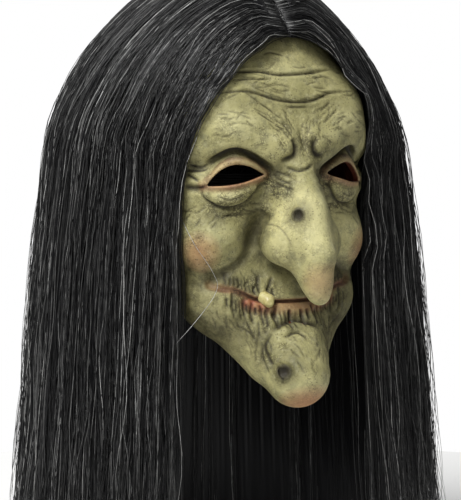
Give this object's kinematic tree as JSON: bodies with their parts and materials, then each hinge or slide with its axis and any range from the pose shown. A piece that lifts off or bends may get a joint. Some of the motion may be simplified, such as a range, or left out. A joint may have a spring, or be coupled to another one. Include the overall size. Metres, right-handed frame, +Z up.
{
  "type": "latex halloween mask",
  "caption": "Witch costume mask: a thin latex face skin with a hooked nose and long chin, worn under an attached wig of long straight hair on a cap.",
  "frame": {"origin": "where the crown of the wearer's head meets the inside of the wig cap", "axes": "-Y is the way the face looks, +X is the wearer's left, +Z is up"},
  "size_m": [0.3043, 0.2802, 0.4294],
  "materials": {
    "latex": "matte painted latex, yellow green with grey mottling and dark creases",
    "tooth": "satin cream",
    "net": "black stretch net",
    "tape": "black woven tape",
    "hair": "glossy synthetic strands, black with grey",
    "elastic": "knitted elastic",
    "rivet": "satin"
  },
  "bodies": {
    "root": {"latex_face": "latex", "tooth": "tooth", "wig_cap": "net", "parting_strip": "tape", "head_elastic": "elastic", "weft_track_nape": "tape", "weft_track_lower": "tape", "weft_track_middle": "tape", "weft_track_upper": "tape", "weft_track_crown": "tape", "elastic_rivet_right": "rivet", "hair_scalp_front_right": "hair", "hair_scalp_side_right": "hair", "hair_scalp_back_right": "hair", "elastic_rivet_left": "rivet", "hair_scalp_front_left": "hair", "hair_scalp_side_left": "hair", "hair_scalp_back_left": "hair"},
    "hair_right": {"hair_front_right": "hair", "hair_side_right": "hair"},
    "hair_left": {"hair_front_left": "hair", "hair_side_left": "hair"},
    "hair_back": {"hair_back_right": "hair", "hair_back_left": "hair"}
  },
  "joints": [
    {"name": "hair_right_swing", "type": "hinge", "parent": "root", "child": "hair_right", "pos_m": [-0.096, 0, -0.118], "axis": [0, 1, 0], "range_deg": [0, 25]},
    {"name": "hair_left_swing", "type": "hinge", "parent": "root", "child": "hair_left", "pos_m": [0.096, 0, -0.118], "axis": [0, -1, 0], "range_deg": [0, 25]},
    {"name": "hair_back_swing", "type": "hinge", "parent": "root", "child": "hair_back", "pos_m": [0, 0.096, -0.118], "axis": [1, 0, 0], "range_deg": [0, 20]}
  ]
}
